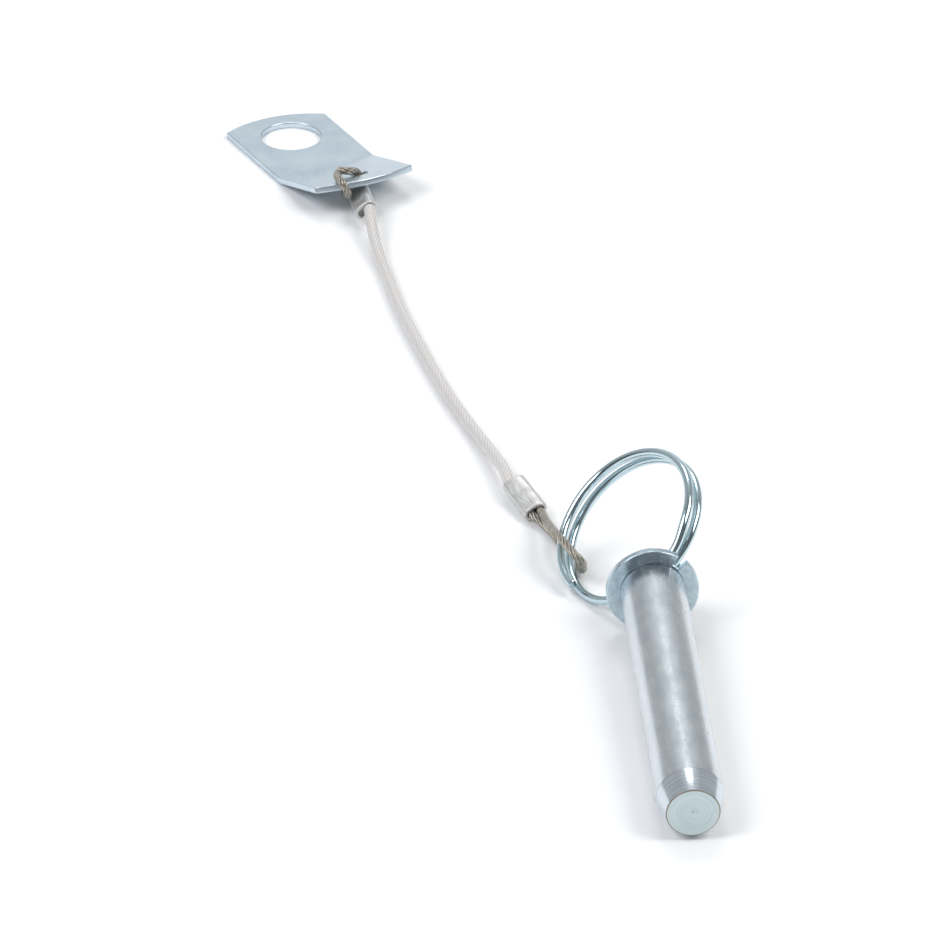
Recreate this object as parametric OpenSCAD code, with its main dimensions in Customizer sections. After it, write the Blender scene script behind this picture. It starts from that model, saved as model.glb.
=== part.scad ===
// Hitch pin lock: a steel pin with a turning collar, a spring ball, a pull ring and
// a lanyard to an anchor tab.
// Millimetres, +Z up. The origin is on the pin's axis, in the plane of the collar's front face.
// The pin lies on its side with its tip towards -Y, and everything rests on one level surface.

/* [Pin] */
// Diameter of the shank
shank_d = 15.88; // [12:0.02:19]
// Length from the collar's front face to the tip
reach = 95; // [80:1:130]
// Length of the tapered nose
nose_len = 6.8; // [4:0.2:9]
// Diameter of the flat end of the nose
tip_d = 12.6; // [10:0.2:12.8]
// Depth of the collar's groove below the shank
groove_depth = 0.74; // [0.5:0.02:1.2]
// Length of the head behind the groove
head_len = 8.2; // [8:0.1:10]
// Full-width length of the head before its rear taper
head_full = 5.2; // [4.5:0.1:6]
// Diameter of the head's rear face
head_end_d = 12; // [10:0.2:13]
// Diameter of the cross hole for the pull ring
cross_hole_d = 5.7; // [5.5:0.1:5.8]

/* [Collar] */
// Outer diameter of the collar
collar_d = 22.6; // [20:0.2:26]
// Thickness of the collar
collar_t = 1.9; // [1.5:0.1:2.2]
// Angle that the collar's gap spans
collar_gap = 15.5; // [8:0.5:25]

/* [Spring ball] */
// Diameter of the ball
ball_d = 4.76; // [4.2:0.02:5]
// How far the ball stands out of the shank
ball_out = 1.1; // [0.8:0.05:1.2]
// Distance from the tip to the ball
ball_from_tip = 12.8; // [9.4:0.1:14]

/* [Pull ring] */
// Mean diameter of the ring's coils
ring_mean_d = 39.4; // [38.5:0.1:40]
// Diameter of the ring's wire
ring_wire_d = 2.3; // [2:0.05:2.4]

/* [Lanyard] */
// Diameter of the bare wire rope
rope_d = 2.2; // [1.6:0.1:2.3]
// Outer diameter of the rope's jacket
jacket_d = 3.2; // [2.8:0.1:3.3]
// Width of a ferrule across its two barrels
ferrule_w = 6.3; // [6.2:0.1:7]
// Thickness of a ferrule
ferrule_t = 4; // [3.8:0.1:4.3]

/* [Anchor tab] */
// Thickness of the tab's strip
tab_t = 1.7; // [1.5:0.1:1.9]
// Width of the strip
tab_w = 29.2; // [26:0.2:32]
// Diameter of the bolt hole
bolt_hole_d = 16.5; // [12:0.1:17]
// Diameter of the lanyard's hole
lanyard_hole_d = 5; // [4.6:0.1:5.4]
// Angle that the strip's end is bent up by
bend_angle = 17; // [16:0.5:18]

/* [Hidden] */
$fn = 96;
over = 1;

shank_r = shank_d / 2;
collar_r = collar_d / 2;
groove_r = shank_r - groove_depth;
seat_play = 0.05;
groove_end = collar_t + seat_play;
edge_break = 0.25;
bore_play = 0.06;
// A chamfer at the front of the collar's bore leaves the flat seat clear of the shank.
seat_clear = 0.06;
bore_lead = 0.4;
gap_at = 50;

// The pin lies on its collar's edge and its nose's edge, so its axis falls a little towards the tip.
tilt = asin((collar_r - shank_r) / (reach - nose_len));
floor_z = -collar_r * cos(tilt);

// The ball sits low on the pin's left side.
ball_angle = 212;
ball_centre = shank_r + ball_out - ball_d / 2;
ball_play = 0.05;
ball_bore_r = ball_d / 2 + ball_play;
ball_lip_drop = 1.2;
lip_t = 0.15;
lip_play = 0.04;
ball_lip_r = sqrt(pow(ball_d / 2, 2) - pow(shank_r - lip_t - ball_centre, 2)) + lip_play;
bore_floor = -1;
spring_wire_r = 0.28;
spring_coil_r = ball_d / 2 - 0.6;
spring_turns = 5;
spring_steps = 12;
spring_sides = 6;
spring_foot_play = 0.01;

// The cross hole lies along the ring's tangent where the ring goes through the head.
cross_roll = 41.7;
cross_at = groove_end + 3.55;

// The ring leans on the pin's head and on the surface. Its low and side directions are unit vectors in its
// plane, and its normal points up and away from them.
ring_r = ring_mean_d / 2;
ring_wire_r = ring_wire_d / 2;
ring_low = [-0.666, -0.269, -0.696];
ring_normal = [-0.645, -0.261, 0.718];
ring_side = cross(ring_normal, ring_low);
coil_half_gap = 1.75;
ring_centre = [-3.6, 23.5, floor_z + ring_r * 0.696 + ring_wire_r + coil_half_gap * 0.718 + 0.02];
ring_start = 0;
ring_sweep = 634;
ring_step = 7.5;
wire_sides = 10;

// Offset of the wire along the ring's normal by the angle wound: the coils are spread where the lanyard goes
// through and squeezed together in the head, where the upper coil crosses over to become the lower one.
coil_offsets = [
  [0, coil_half_gap], [235, coil_half_gap], [262, 0.47], [276, 0.47],
  [352, -coil_half_gap], [592, -coil_half_gap], [622, -1.93], [ring_sweep, -1.93]
];

rope_r = rope_d / 2;
jacket_r = jacket_d / 2;
rope_play = 0.03;
barrel_off = (ferrule_w - ferrule_t) / 2;
tube_sides = 8;

// Ferrules by the centres of their ends, above the surface: the bare loop's end, then the jacket's end.
ring_ferrule_ends = [[-23.6, 56.0, 2.6], [-28.2, 68.6, 4.0]];
ring_ferrule_roll = -20;
tab_ferrule_ends = [[-57.0, 232.2, 3.4], [-55.8, 218.9, 4.6]];
tab_ferrule_roll = 35;

// Route of the bare loop round the ring's two coils, above the surface, between its ferrule's barrels.
ring_loop_route = [
  [-25.6, 64.6, 3.8], [-22.7, 56.6, 3.0], [-22.2, 52.6, 3.9], [-21.8, 44.9, 6.0],
  [-21.3, 38.0, 8.3], [-20.9, 33.0, 9.8], [-20.1, 29.6, 10.4], [-19.0, 26.5, 10.4],
  [-17.9, 23.6, 10.1], [-16.9, 21.7, 9.6], [-15.9, 21.3, 8.6], [-15.1, 22.4, 6.9],
  [-14.8, 24.0, 4.9], [-14.7, 25.9, 3.2], [-15.0, 28.6, 2.0], [-16.0, 31.6, 1.3],
  [-17.3, 37.0, 1.2], [-18.9, 43.5, 1.2], [-20.5, 48.6, 1.3], [-22.4, 52.4, 1.6],
  [-24.5, 55.6, 2.1], [-26.6, 61.6, 2.8]
];

// Route of the bare loop through the tab's hole and over its raised edge, above the surface.
tab_loop_route = [
  [-55.3, 224.5, 4.8], [-56.0, 231.8, 4.1], [-55.9, 234.0, 4.2], [-55.9, 235.6, 5.0],
  [-56.5, 236.4, 6.6], [-57.7, 235.6, 8.0], [-59.0, 234.6, 8.7], [-60.4, 234.7, 8.8],
  [-61.6, 235.1, 8.6], [-62.4, 234.1, 8.5], [-62.7, 231.4, 9.1], [-62.6, 228.2, 10.0],
  [-62.2, 225.2, 10.8], [-61.5, 223.7, 10.2], [-60.8, 223.6, 8.6], [-60.3, 224.6, 7.0],
  [-60.4, 228.0, 5.1], [-60.6, 231.2, 3.8], [-60.2, 233.5, 3.1], [-59.1, 234.3, 2.8],
  [-58.2, 233.4, 2.7], [-57.8, 230.6, 2.9]
];

// Route of the jacketed rope, above the surface, from the tab's ferrule to the ring's ferrule.
jacket_route = [
  [-54.8, 218.6, 5.3], [-54.8, 214.0, 4.9], [-54.6, 208.0, 3.9], [-54.2, 202.0, 2.9],
  [-53.5, 196.0, 2.1], [-52.6, 190.0, 1.75], [-51.5, 180.0, 1.7], [-50.1, 169.0, 1.7],
  [-48.4, 158.0, 1.7], [-46.4, 147.0, 1.7], [-44.1, 135.0, 1.7], [-41.0, 120.5, 1.7],
  [-37.3, 106.0, 1.8], [-34.0, 94.0, 2.2], [-31.3, 83.0, 3.1], [-29.8, 75.4, 3.7],
  [-29.2, 68.2, 3.6]
];

// The tab's flat part rests on the surface. Its bend is a line across the strip, and both ends are round.
bolt_hole_at = [-73.2, 270.8];
tab_turn = -65.85;
tab_far = 13.3;
bend_at = 20.5;
tab_near = 47.3;
tab_end_r = 29;
tab_far_off = -2;
tab_near_off = 0.6;
end_sides = 180;
bend_r = 1.5;
bend_steps = 6;
lanyard_hole_along = 18;
lanyard_hole_off = 1;

function unit(v) = v / norm(v);
function tangents(p) = [
  for (i = [0:len(p) - 1]) unit(p[min(i + 1, len(p) - 1)] - p[max(i - 1, 0)])
];
function carry(n, t) = unit(n - (n * t) * t);
function normals(t) = [
  for (i = 0, n = carry([0, 0, 1], t[0]); i < len(t); i = i + 1, n = i < len(t) ? carry(n, t[i]) : n) n
];
function on_surface(route) = [for (p = route) p + [0, 0, floor_z]];

// A round tube along a list of points
module tube(points, r, sides) {
  t = tangents(points);
  n = normals(t);
  rings = [
    for (i = [0:len(points) - 1], k = [0:sides - 1])
      points[i] + r * (cos(360 * k / sides) * n[i] + sin(360 * k / sides) * cross(t[i], n[i]))
  ];
  walls = [
    for (i = [0:len(points) - 2], k = [0:sides - 1])
      let (a = i * sides + k, b = i * sides + (k + 1) % sides)
        each [[a, a + sides, b + sides], [a, b + sides, b]]
  ];
  start_cap = [for (k = [0:sides - 1]) k];
  end_cap = [for (k = [1:sides]) len(rings) - k];
  polyhedron(points = rings, faces = concat([start_cap], walls, [end_cap]), convexity = 6);
}

// Turns a shape whose +Z is the pin's axis towards the head into place
module along_pin() {
  rotate([tilt - 90, 0, 0]) children();
}

// Turns a shape whose +Z points out through the ball into place
module along_ball() {
  along_pin()
    translate([0, 0, ball_from_tip - reach])
      rotate([0, 0, -ball_angle])
        rotate([0, 90, 0]) children();
}

module pin() {
  head_shoulder = groove_end + head_full;
  head_rear = groove_end + head_len;
  bore_end = ball_centre + ball_lip_drop;
  color("#b7c6cf")
    difference() {
      along_pin()
        rotate_extrude()
          polygon([
            [0, -reach], [tip_d / 2, -reach], [shank_r, nose_len - reach],
            [shank_r, -seat_play - edge_break], [shank_r - edge_break, -seat_play],
            [groove_r, -seat_play], [groove_r, groove_end],
            [shank_r - edge_break, groove_end], [shank_r, groove_end + edge_break],
            [shank_r, head_shoulder], [head_end_d / 2, head_rear], [0, head_rear]
          ]);
      along_pin()
        translate([0, 0, cross_at])
          rotate([0, 0, -cross_roll])
            rotate([0, 90, 0])
              cylinder(d = cross_hole_d, h = 3 * shank_r, center = true);
      along_ball() {
        translate([0, 0, bore_floor]) cylinder(r = ball_bore_r, h = bore_end - bore_floor);
        translate([0, 0, bore_floor]) cylinder(r = ball_lip_r, h = shank_r + over - bore_floor);
      }
    }
}

module collar() {
  bore_r = groove_r + bore_play;
  gap_r = 2 * collar_r;
  gap_half = gap_r * tan(collar_gap / 2);
  color("#a9bcc6")
    along_pin()
      difference() {
        cylinder(r = collar_r, h = collar_t);
        translate([0, 0, -over]) cylinder(r = bore_r, h = collar_t + 2 * over);
        cylinder(r1 = shank_r + seat_clear, r2 = bore_r, h = bore_lead);
        rotate([0, 0, -gap_at])
          translate([0, 0, -over])
            linear_extrude(collar_t + 2 * over)
              polygon([[0, 0], [gap_r, gap_half], [gap_r, -gap_half]]);
      }
}

module detent_ball() {
  color("#c9d2d6")
    along_ball()
      translate([0, 0, ball_centre]) sphere(d = ball_d);
}

module detent_spring() {
  spring_foot = bore_floor + spring_wire_r + spring_foot_play;
  spring_head = ball_centre - ball_d / 2;
  steps = spring_turns * spring_steps;
  coil = [
    for (i = [0:steps])
      [
        spring_coil_r * cos(360 * i / spring_steps),
        spring_coil_r * sin(360 * i / spring_steps),
        spring_foot + (spring_head - spring_foot) * i / steps
      ]
  ];
  color("#9aa4a9")
    along_ball() tube(coil, spring_wire_r, spring_sides);
}

module pull_ring() {
  wire = [
    for (a = [0:ring_step:ring_sweep])
      let (phi = ring_start - a)
        ring_centre + ring_r * (cos(phi) * ring_low + sin(phi) * ring_side)
          + lookup(a, coil_offsets) * ring_normal
  ];
  color("#aebfc8") tube(wire, ring_wire_r, wire_sides);
}

// A ferrule between two end points: an oval sleeve with a barrel for each leg of the rope
module ferrule(ends, roll) {
  axis = unit(ends[1] - ends[0]);
  length = norm(ends[1] - ends[0]);
  translate(ends[0] + [0, 0, floor_z])
    rotate([0, acos(axis[2]), atan2(axis[1], axis[0])])
      rotate([0, 0, roll])
        difference() {
          linear_extrude(length) {
            for (s = [-1, 1]) translate([0, s * barrel_off]) circle(d = ferrule_t);
            square([ferrule_t, 2 * barrel_off], center = true);
          }
          for (s = [-1, 1])
            translate([0, s * barrel_off, -over]) cylinder(r = rope_r + rope_play, h = length + 2 * over);
        }
}

module ring_loop() {
  color("#a79f94") tube(on_surface(ring_loop_route), rope_r, tube_sides);
}

module ring_ferrule() {
  color("#c8c8c6") ferrule(ring_ferrule_ends, ring_ferrule_roll);
}

module rope_core() {
  color("#a79f94") tube(on_surface(jacket_route), rope_r, tube_sides);
}

module rope_jacket() {
  color("#d6d3d0")
    difference() {
      tube(on_surface(jacket_route), jacket_r, tube_sides);
      tube(on_surface(jacket_route), rope_r + rope_play, tube_sides);
    }
}

module tab_ferrule() {
  color("#c8c8c6") ferrule(tab_ferrule_ends, tab_ferrule_roll);
}

module tab_loop() {
  color("#a79f94") tube(on_surface(tab_loop_route), rope_r, tube_sides);
}

// The strip's outline on its flat part and, past the bend, on its raised part
module tab_outline() {
  intersection() {
    translate([-tab_far - over, -tab_w / 2]) square([tab_far + over + bend_at, tab_w]);
    translate([tab_end_r - tab_far, tab_far_off]) circle(r = tab_end_r, $fn = end_sides);
  }
  intersection() {
    translate([bend_at - over, -tab_w / 2]) square([tab_near - bend_at + 2 * over, tab_w]);
    translate([tab_near - tab_end_r, tab_near_off]) circle(r = tab_end_r, $fn = end_sides);
  }
}

module anchor_tab() {
  slope = [cos(bend_angle), sin(bend_angle)];
  bend_centre = [bend_at, tab_t + bend_r];
  bend = [for (i = [0:bend_steps]) bend_angle * i / bend_steps];
  run = (tab_near - bend_at) / cos(bend_angle) + over;
  under = [for (a = bend) bend_centre + (bend_r + tab_t) * [sin(a), -cos(a)]];
  upper = [for (i = [bend_steps:-1:0]) bend_centre + bend_r * [sin(bend[i]), -cos(bend[i])]];
  hole_foot = upper[0] + lanyard_hole_along * slope;
  color("#b4c4cd")
    translate([bolt_hole_at[0], bolt_hole_at[1], floor_z])
      rotate([0, 0, tab_turn])
        difference() {
          intersection() {
            rotate([90, 0, 0])
              linear_extrude(2 * tab_w, center = true)
                polygon(concat(
                  [[-tab_far - over, 0]], under, [under[bend_steps] + run * slope],
                  [upper[0] + run * slope], upper, [[-tab_far - over, tab_t]]
                ));
            linear_extrude(tab_near) tab_outline();
          }
          translate([0, 0, -over]) cylinder(d = bolt_hole_d, h = tab_t + 2 * over);
          translate([hole_foot[0], lanyard_hole_off, hole_foot[1]])
            rotate([0, -bend_angle, 0])
              cylinder(d = lanyard_hole_d, h = 4 * tab_t, center = true);
        }
}

pin();
collar();
detent_ball();
detent_spring();
pull_ring();
ring_loop();
ring_ferrule();
rope_core();
rope_jacket();
tab_ferrule();
tab_loop();
anchor_tab();
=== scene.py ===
# %% [markdown]
# A hitch pin is pushed through two lined-up holes to couple a trailer or an implement. This one is a turned
# steel bar with a flat collar that stops it, a split ring to pull it out by, a sprung ball that keeps it
# in, and a short wire rope lanyard that ties it to a bent tab, so that it can't be lost.
#
# The solid model was made first, at its real size. It is loaded here as a fixed frame, and everything that
# follows is built in the same metres and the same place, so no piece has to be fitted by eye.

# %% Load the solid model
import math

import bmesh
import bpy
from mathutils import Matrix, Vector
from mathutils.geometry import tessellate_polygon


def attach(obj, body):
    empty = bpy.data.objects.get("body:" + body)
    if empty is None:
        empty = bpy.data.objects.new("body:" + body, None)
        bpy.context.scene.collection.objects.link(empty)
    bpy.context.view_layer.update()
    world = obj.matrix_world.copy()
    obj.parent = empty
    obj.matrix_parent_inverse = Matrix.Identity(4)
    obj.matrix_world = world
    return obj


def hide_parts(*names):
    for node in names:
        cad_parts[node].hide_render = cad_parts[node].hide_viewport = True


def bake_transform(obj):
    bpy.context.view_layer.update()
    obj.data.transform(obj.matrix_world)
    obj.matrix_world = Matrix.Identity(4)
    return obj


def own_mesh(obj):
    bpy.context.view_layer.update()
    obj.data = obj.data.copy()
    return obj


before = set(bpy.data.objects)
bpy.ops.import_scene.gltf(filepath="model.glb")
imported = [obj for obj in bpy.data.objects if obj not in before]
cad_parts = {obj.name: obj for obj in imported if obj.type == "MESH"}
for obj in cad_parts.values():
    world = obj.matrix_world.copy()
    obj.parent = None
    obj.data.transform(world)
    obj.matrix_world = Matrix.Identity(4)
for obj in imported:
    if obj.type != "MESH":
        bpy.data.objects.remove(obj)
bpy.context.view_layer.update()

# %% [markdown]
# Sizes are easier to read in millimetres, so one function turns them into Blender's metres. Colours are
# written as the hex values a paint chart would give. Those are sRGB, and a shader works in linear light, so
# one function converts them.

# %% Units and colour
def mm(*sizes):
    metres = [s / 1000 for s in sizes]
    return metres[0] if len(metres) == 1 else Vector(metres)


def tint(hex_colour):
    channels = [int(hex_colour[i:i + 2], 16) / 255 for i in (1, 3, 5)]
    return tuple(c / 12.92 if c <= 0.04045 else ((c + 0.055) / 1.055) ** 2.4 for c in channels) + (1.0,)


print("5/8 in shank:", round(mm(15.88), 5), "m")

# %% [markdown]
# The pin lies on the rim of its collar and the rim of its nose, so its axis falls a little towards the tip.
# A matrix that stands for "along the pin" lets every turned piece be drawn on a plain vertical axis first,
# with +Z from the collar towards the head, and then laid in place.

# %% The pin's own axis
SHANK_R, COLLAR_R, REACH, NOSE = 7.94, 11.3, 95.0, 6.8
TILT = math.asin((COLLAR_R - SHANK_R) / (REACH - NOSE))
SURFACE = -COLLAR_R * math.cos(TILT)
ALONG_PIN = Matrix.Rotation(TILT - math.pi / 2, 4, "X")
print("the pin's axis falls", round(math.degrees(TILT), 2), "degrees, surface at", round(SURFACE, 2), "mm")

# %% [markdown]
# The camera and the lanyard come first, because the lanyard decides how much room the picture needs. The
# camera stands well back with a long lens, which keeps the pin's sides nearly parallel as a catalogue
# picture does.

# %% Camera
lens = bpy.data.cameras.new("long_lens")
lens.lens, lens.sensor_width, lens.clip_start, lens.clip_end = 265.26, 36.0, 0.05, 50.0
camera = bpy.data.objects.new("camera", lens)
camera.location = (-0.15432, -1.45285, 0.85593)
camera.rotation_euler = (math.radians(60.58), 0.0, math.radians(-4.376))
bpy.context.scene.collection.objects.link(camera)
bpy.context.scene.camera = camera
print("camera stands", round(camera.location.length, 2), "m from the collar")

# %% [markdown]
# Everything long and round here (the rope's strands, its jacket, the spring, the split ring) is one idea: a
# circle carried along a line. The line's points are first joined by a smooth curve through all of them. A
# frame is then carried along the curve without letting it spin, so that the twist of a strand is only the
# twist that is asked for.

# %% Smooth lines and carried frames
FINE_STEPS = 24


def between(p, q, u, v, t):
    """The point at t on the line that passes p at u and q at v."""
    return p * ((v - t) / (v - u)) + q * ((t - u) / (v - u))


def smooth_line(points, step):
    """Points a step apart on a curve through all the given points."""
    ends = [points[0] * 2 - points[1]] + list(points) + [points[-1] * 2 - points[-2]]
    fine = []
    for a, b, c, d in zip(ends, ends[1:], ends[2:], ends[3:]):
        knots = [0.0]
        for p, q in ((a, b), (b, c), (c, d)):
            knots.append(knots[-1] + max((q - p).length, 1e-9) ** 0.5)
        k0, k1, k2, k3 = knots
        for i in range(FINE_STEPS):
            t = k1 + (k2 - k1) * i / FINE_STEPS
            ab, bc, cd = between(a, b, k0, k1, t), between(b, c, k1, k2, t), between(c, d, k2, k3, t)
            abc, bcd = between(ab, bc, k0, k2, t), between(bc, cd, k1, k3, t)
            fine.append(between(abc, bcd, k1, k2, t))
    fine.append(points[-1].copy())
    travelled = [0.0]
    for p, q in zip(fine, fine[1:]):
        travelled.append(travelled[-1] + (q - p).length)
    count = max(2, round(travelled[-1] / step))
    line, at = [], 0
    for i in range(count + 1):
        goal = travelled[-1] * i / count
        while at < len(fine) - 2 and travelled[at + 1] < goal:
            at += 1
        span = travelled[at + 1] - travelled[at]
        line.append(fine[at].lerp(fine[at + 1], (goal - travelled[at]) / span if span else 0.0))
    return line


def carried_frames(line):
    """A pair of unit vectors square to the line at each of its points, and the distance along it."""
    frames, along = [], 0.0
    side = None
    for i, p in enumerate(line):
        ahead = (line[min(i + 1, len(line) - 1)] - line[max(i - 1, 0)]).normalized()
        if side is None:
            side = Vector((0, 0, 1)) if abs(ahead.z) < 0.9 else Vector((1, 0, 0))
        side = (side - ahead * side.dot(ahead)).normalized()
        along += (p - line[i - 1]).length if i else 0.0
        frames.append((ahead, side.copy(), ahead.cross(side), along))
    return frames


print("a straight test line of", len(smooth_line([mm(0, 0, 0), mm(5, 0, 0), mm(10, 0, 0)], mm(1))), "points")

# %% [markdown]
# A mesh is made here from rings of points joined one to the next. Each ring keeps a note of how far round
# and how far along it is, as a UV map in metres, so that a pattern such as a twist or a turning mark can
# follow the piece whichever way it bends.

# %% Rings of points into one closed skin
def skin(mesh_name, rings, distances, girth):
    """Joins each ring of points to the next and closes both ends. Distances and girth go into the UV map."""
    mesh = bmesh.new()
    uv = mesh.loops.layers.uv.new("along")
    rows = [[mesh.verts.new(p) for p in ring] for ring in rings]
    sides = len(rings[0])
    for i in range(len(rows) - 1):
        for k in range(sides):
            j = (k + 1) % sides
            face = mesh.faces.new((rows[i][k], rows[i][j], rows[i + 1][j], rows[i + 1][k]))
            face.smooth = True
            corners = ((k, i), (k + 1, i), (k + 1, i + 1), (k, i + 1))
            for loop, (u, v) in zip(face.loops, corners):
                loop[uv].uv = (girth * u / sides, distances[v])
    for row, turn in ((rows[0], -1), (rows[-1], 1)):
        cap = mesh.faces.new(row[::turn])
        cap.smooth = False
    mesh.normal_update()
    data = bpy.data.meshes.new(mesh_name)
    mesh.to_mesh(data)
    mesh.free()
    return data


def piece(name, data, body, *stands_for, slot=None):
    """Puts a mesh in the scene, and says what body it rides on and what solids it stands for."""
    made = bpy.data.objects.new(name, data)
    bpy.context.scene.collection.objects.link(made)
    if body:
        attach(made, body)
    if stands_for:
        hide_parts(*stands_for)
    return made


def wire_mesh(mesh_name, line, radius, sides, end_round=0.0):
    """A round wire along a line, with its cut ends a little rounded."""
    frames = carried_frames(line)
    rings, distances = [], []
    stations = [(i, 1.0, 0.0) for i in range(len(line))]
    if end_round:
        first, last = stations[0][0], stations[-1][0]
        stations = [(first, 1 - end_round / radius, 0.0), (first, 1.0, end_round)] + stations[1:-1]
        stations += [(last, 1.0, -end_round), (last, 1 - end_round / radius, 0.0)]
    for i, share, shift in stations:
        ahead, side, other, along = frames[i]
        centre = line[i] + ahead * shift
        rings.append([
            centre + radius * share * (math.cos(a) * side + math.sin(a) * other)
            for a in (2 * math.pi * k / sides for k in range(sides))
        ])
        distances.append(along + shift)
    return skin(mesh_name, rings, distances, 2 * math.pi * radius)


print("helpers for meshes are ready")

# %% [markdown]
# The lanyard is one wire rope. Between its two ferrules it wears a jacket of clear plastic, 3.2 mm over a
# 2.2 mm rope, and it lies on the surface in one lazy bend. These are the route's points from the solid
# model, in millimetres above the surface, from the tab's ferrule to the ring's.

# %% The lanyard's route and its jacket
def above_surface(points):
    return [mm(x, y, z + SURFACE) for x, y, z in points]


ROPE_D, JACKET_D = 2.2, 3.2
JACKET_ROUTE = above_surface([
    (-54.8, 218.6, 5.3), (-54.8, 214.0, 4.9), (-54.6, 208.0, 3.9), (-54.2, 202.0, 2.9),
    (-53.5, 196.0, 2.1), (-52.6, 190.0, 1.75), (-51.5, 180.0, 1.7), (-50.1, 169.0, 1.7),
    (-48.4, 158.0, 1.7), (-46.4, 147.0, 1.7), (-44.1, 135.0, 1.7), (-41.0, 120.5, 1.7),
    (-37.3, 106.0, 1.8), (-34.0, 94.0, 2.2), (-31.3, 83.0, 3.1), (-29.8, 75.4, 3.7),
    (-29.2, 68.2, 3.6),
])
jacket_line = smooth_line(JACKET_ROUTE, mm(0.8))
jacket = piece(
    "rope_jacket_skin", wire_mesh("rope_jacket_skin", jacket_line, mm(JACKET_D) / 2, 24, mm(0.12)),
    None, "rope_jacket", slot="jacket_plastic",
)

# %% [markdown]
# A wire rope is six strands laid round a seventh, and each strand is itself a bundle of fine wires. A
# strand is a small round tube on a helix about the rope's line. The lay is how far along the rope one
# strand takes to go once round: 12 mm here, five or six times the rope's own thickness. It is what makes
# the slanting, rope-like shadows.

# %% Strands laid into a rope
ROPE_LAY = 12.0
STRANDS = 6
STRAND_SHARE = 0.96


def rope_mesh(mesh_name, line, sides):
    """Six strands on a helix about the line and one along its middle, in one mesh."""
    strand_r = mm(ROPE_D) / 2 / 3
    helix_r = 2 * strand_r
    frames = carried_frames(line)
    whole = bmesh.new()
    for strand in range(STRANDS + 1):
        path = []
        for p, (ahead, side, other, along) in zip(line, frames):
            turn = 2 * math.pi * (along / mm(ROPE_LAY) + strand / STRANDS)
            off = helix_r if strand < STRANDS else 0.0
            path.append(p + off * (math.cos(turn) * side + math.sin(turn) * other))
        part = wire_mesh("strand", path, strand_r * STRAND_SHARE, sides)
        whole.from_mesh(part)
        bpy.data.meshes.remove(part)
    data = bpy.data.meshes.new(mesh_name)
    whole.to_mesh(data)
    whole.free()
    return data


RING_LOOP_ROUTE = above_surface([
    (-25.6, 64.6, 3.8), (-22.7, 56.6, 3.0), (-22.2, 52.6, 3.9), (-21.8, 44.9, 6.0),
    (-21.3, 38.0, 8.3), (-20.9, 33.0, 9.8), (-20.1, 29.6, 10.4), (-19.0, 26.5, 10.4),
    (-17.9, 23.6, 10.1), (-16.9, 21.7, 9.6), (-15.9, 21.3, 8.6), (-15.1, 22.4, 6.9),
    (-14.8, 24.0, 4.9), (-14.7, 25.9, 3.2), (-15.0, 28.6, 2.0), (-16.0, 31.6, 1.3),
    (-17.3, 37.0, 1.2), (-18.9, 43.5, 1.2), (-20.5, 48.6, 1.3), (-22.4, 52.4, 1.6),
    (-24.5, 55.6, 2.1), (-26.6, 61.6, 2.8),
])
TAB_LOOP_ROUTE = above_surface([
    (-55.3, 224.5, 4.8), (-56.0, 231.8, 4.1), (-55.9, 234.0, 4.2), (-55.9, 235.6, 5.0),
    (-56.5, 236.4, 6.6), (-57.7, 235.6, 8.0), (-59.0, 234.6, 8.7), (-60.4, 234.7, 8.8),
    (-61.6, 235.1, 8.6), (-62.4, 234.1, 8.5), (-62.7, 231.4, 9.1), (-62.6, 228.2, 10.0),
    (-62.2, 225.2, 10.8), (-61.5, 223.7, 10.2), (-60.8, 223.6, 8.6), (-60.3, 224.6, 7.0),
    (-60.4, 228.0, 5.1), (-60.6, 231.2, 3.8), (-60.2, 233.5, 3.1), (-59.1, 234.3, 2.8),
    (-58.2, 233.4, 2.7), (-57.8, 230.6, 2.9),
])
ring_loop = piece(
    "ring_loop_rope", rope_mesh("ring_loop_rope", smooth_line(RING_LOOP_ROUTE, mm(0.35)), 10),
    "ring_end", "ring_loop", slot="rope_wire",
)
tab_loop = piece(
    "tab_loop_rope", rope_mesh("tab_loop_rope", smooth_line(TAB_LOOP_ROUTE, mm(0.35)), 10),
    "tab_end", "tab_loop", slot="rope_wire",
)
core = piece(
    "rope_core_strands", rope_mesh("rope_core_strands", smooth_line(JACKET_ROUTE, mm(1.0)), 6),
    None, "rope_core", slot="rope_wire",
)
print("rope faces:", sum(len(o.data.polygons) for o in (ring_loop, tab_loop, core)))

# %% [markdown]
# The jacket and the rope inside it ride on no body, and their placing is baked into their meshes.

# %% Bake the lanyard's placing
for bending in (jacket, core):
    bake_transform(bending)

# %% [markdown]
# A ferrule is a short aluminium tube, oval in section, with both legs of the loop inside it. A press
# squeezes it on to them, so it comes out as two barrels run together, with soft flats and dents and a
# rounded lip. Here the section is drawn as a flattened oval that is a little different at every station,
# and the skin turns in over the lip and down the mouth, so that the mouth is a real hollow with the rope in
# it.

# %% Pressed ferrules
FERRULE_W, FERRULE_T, LIP, WAIST = 6.3, 4.0, 0.35, 0.02
MOUTH_W, MOUTH_T, MOUTH_DEEP, MOUTH_FLARE = 4.55, 2.3, 2.2, 0.12
OVAL_SIDES, STATIONS, LIP_STEPS = 56, 24, 4
DENT_WIDENS, DENT_FLATTENS = 0.25, 0.35


def oval(width, thickness, pinch):
    """Points round an oval of two half circles joined by straight sides, pinched in at its waist."""
    points = []
    radius, off = thickness / 2, (width - thickness) / 2
    for k in range(OVAL_SIDES):
        a = 2 * math.pi * k / OVAL_SIDES
        c, s = math.cos(a), math.sin(a)
        y = off * max(-1.0, min(1.0, c * 1.6)) + radius * c
        x = radius * s * (1 - pinch * (1 - abs(c)) ** 2)
        points.append((x, y))
    return points


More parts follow.
